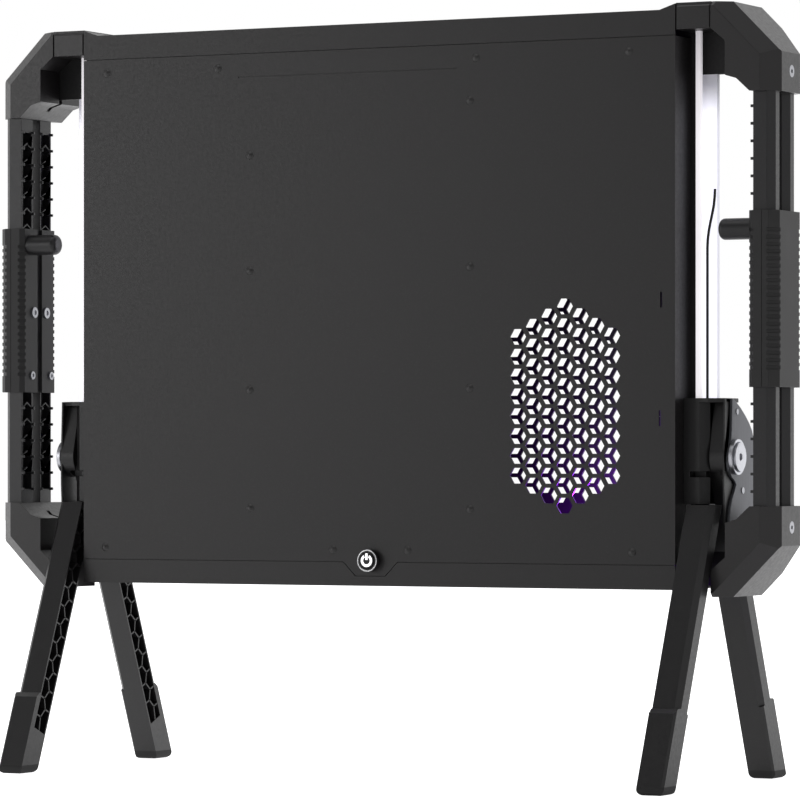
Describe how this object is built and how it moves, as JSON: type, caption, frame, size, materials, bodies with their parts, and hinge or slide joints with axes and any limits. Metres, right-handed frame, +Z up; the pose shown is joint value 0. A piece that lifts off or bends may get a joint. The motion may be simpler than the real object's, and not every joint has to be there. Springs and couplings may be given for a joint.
{
  "type": "open-frame portable computer case",
  "caption": "Portable computer case: a vented box in a ring frame with a ribbed carrying grip on each side, standing on A-frame legs.",
  "frame": {"origin": "on the floor under the hub axis, midway between the left and right legs", "axes": "+Z up, +X to the right seen from the vented rear cover, +Y from the rear cover towards the front cover"},
  "size_m": [0.6274, 0.2194, 0.5455],
  "materials": {
    "cover_coat": "fine matt black powder coat on sheet steel",
    "inner_coat": "matt black powder coat",
    "ring_coat": "matt black powder coat on a casting",
    "rail_coat": "matt black anodised look",
    "grip_rubber": "matt black moulded grip",
    "peg_plastic": "satin black moulding",
    "bright_steel": "plain turned steel",
    "diffuser_plastic": "lit milky acrylic",
    "light_strip": "violet lit strip",
    "lead_jacket": "black insulation",
    "hinge_coat": "matt black casting",
    "hinge_plate_metal": "grey sheet metal",
    "leg_coat": "matt black powder coat",
    "foot_rubber": "black rubber",
    "button_plastic": "black with a lit plain power mark",
    "dark_screw": "black oxide",
    "standoff_brass": "turned brass"
  },
  "bodies": {
    "case": {"rear_cover": "cover_coat", "front_cover": "cover_coat", "top_rail": "cover_coat", "bottom_rail": "cover_coat", "centre_plate": "inner_coat", "cover_strut_left": "inner_coat", "cover_strut_right": "inner_coat", "corner_block_left": "ring_coat", "corner_block_right": "ring_coat", "bracket_top_left": "ring_coat", "bracket_top_right": "ring_coat", "bracket_bottom_left": "ring_coat", "bracket_bottom_right": "ring_coat", "rail_rear_left": "rail_coat", "rail_rear_right": "rail_coat", "rail_front_left": "rail_coat", "rail_front_right": "rail_coat", "grip_outer_left": "grip_rubber", "grip_outer_right": "grip_rubber", "grip_inner_left": "grip_rubber", "grip_inner_right": "grip_rubber", "grip_peg_left": "peg_plastic", "grip_peg_right": "peg_plastic", "grip_screws": "bright_steel", "light_bar_left": "diffuser_plastic", "light_bar_right": "diffuser_plastic", "diffuser_left": "diffuser_plastic", "diffuser_right": "diffuser_plastic", "light_strip_left": "light_strip", "light_strip_right": "light_strip", "light_lead": "lead_jacket", "hinge_housing_left": "hinge_coat", "hinge_housing_right": "hinge_coat", "hinge_cheek_left": "hinge_coat", "hinge_cheek_right": "hinge_coat", "hinge_plate_left": "hinge_plate_metal", "hinge_plate_right": "hinge_plate_metal", "hub_cup_left": "bright_steel", "hub_cup_right": "bright_steel", "hub_bolt_left": "bright_steel", "hub_bolt_right": "bright_steel", "button_bezel": "dark_screw", "button_barrel": "bright_steel", "button_nut": "bright_steel", "cover_screws": "dark_screw", "front_screws": "dark_screw", "bracket_screws": "bright_steel", "board_standoffs": "standoff_brass"},
    "leg_rear_left": {"leg_rear_left": "leg_coat", "foot_rear_left": "foot_rubber"},
    "leg_front_left": {"leg_front_left": "leg_coat", "foot_front_left": "foot_rubber"},
    "leg_rear_right": {"leg_rear_right": "leg_coat", "foot_rear_right": "foot_rubber"},
    "leg_front_right": {"leg_front_right": "leg_coat", "foot_front_right": "foot_rubber"},
    "button": {"power_button": "button_plastic"}
  },
  "joints": [
    {"name": "leg_rear_left_pivot", "type": "hinge", "parent": "case", "child": "leg_rear_left", "pos_m": [-0.2531, 0, 0.23], "axis": [1, 0, 0], "range_deg": [0, 8]},
    {"name": "leg_front_left_pivot", "type": "hinge", "parent": "case", "child": "leg_front_left", "pos_m": [-0.2531, 0, 0.23], "axis": [-1, 0, 0], "range_deg": [0, 8]},
    {"name": "leg_rear_right_pivot", "type": "hinge", "parent": "case", "child": "leg_rear_right", "pos_m": [0.2531, 0, 0.23], "axis": [1, 0, 0], "range_deg": [0, 8]},
    {"name": "leg_front_right_pivot", "type": "hinge", "parent": "case", "child": "leg_front_right", "pos_m": [0.2531, 0, 0.23], "axis": [-1, 0, 0], "range_deg": [0, 8]},
    {"name": "power_button_press", "type": "slide", "parent": "case", "child": "button", "axis": [0, 1, 0], "range_m": [0, 0.0015], "stiffness_N_per_m": 800}
  ]
}
